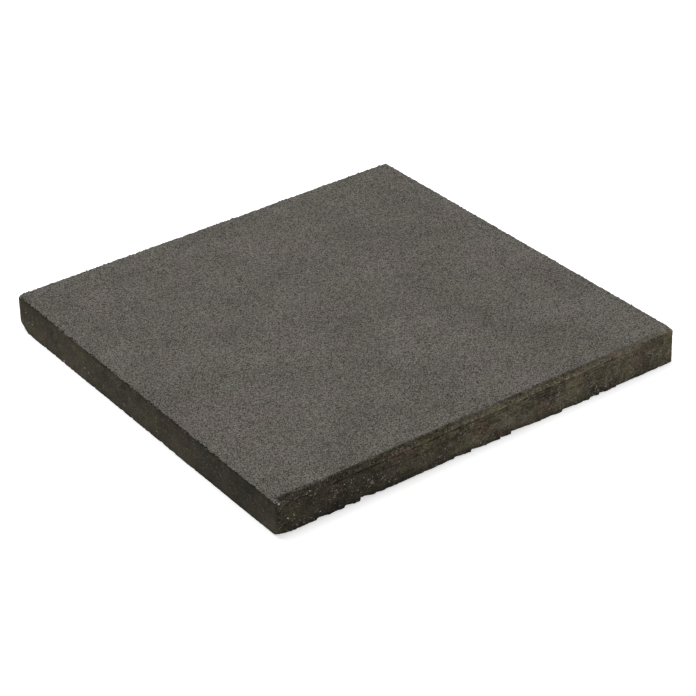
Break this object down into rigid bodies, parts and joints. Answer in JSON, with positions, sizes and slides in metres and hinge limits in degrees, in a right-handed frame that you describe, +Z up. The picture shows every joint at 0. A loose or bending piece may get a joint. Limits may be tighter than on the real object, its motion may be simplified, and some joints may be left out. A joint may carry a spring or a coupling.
{
  "type": "stone slab",
  "caption": "Square stone slab with a fine flat working face on a coarser backing, crushed stones bedded in its sides, to lie flat under leather while it is stamped or cut.",
  "frame": {"origin": "centre of the underside, where the slab stands on the bench", "axes": "+Z up through the working face; -Y towards the worn front face; +X to the right seen from the front"},
  "size_m": [0.305, 0.305, 0.025],
  "materials": {
    "facing": "matt, fine sand texture, dark warm grey",
    "backing": "matt, coarse, darker, mottled olive and brown",
    "pale_stone": "matt, pale crushed stone",
    "rust_stone": "matt, rust-brown crushed stone",
    "grey_stone": "matt, grey crushed stone"
  },
  "bodies": {
    "root": {"facing_course": "facing", "backing_course": "backing", "aggregate_front_1": "grey_stone", "aggregate_front_2": "pale_stone", "aggregate_front_3": "rust_stone", "aggregate_front_4": "grey_stone", "aggregate_front_5": "rust_stone", "aggregate_left_1": "pale_stone", "aggregate_left_2": "grey_stone", "aggregate_left_3": "pale_stone", "aggregate_left_4": "pale_stone", "aggregate_back_1": "grey_stone", "aggregate_back_2": "pale_stone", "aggregate_back_3": "rust_stone", "aggregate_right_1": "pale_stone", "aggregate_right_2": "rust_stone", "aggregate_right_3": "grey_stone"}
  },
  "joints": []
}
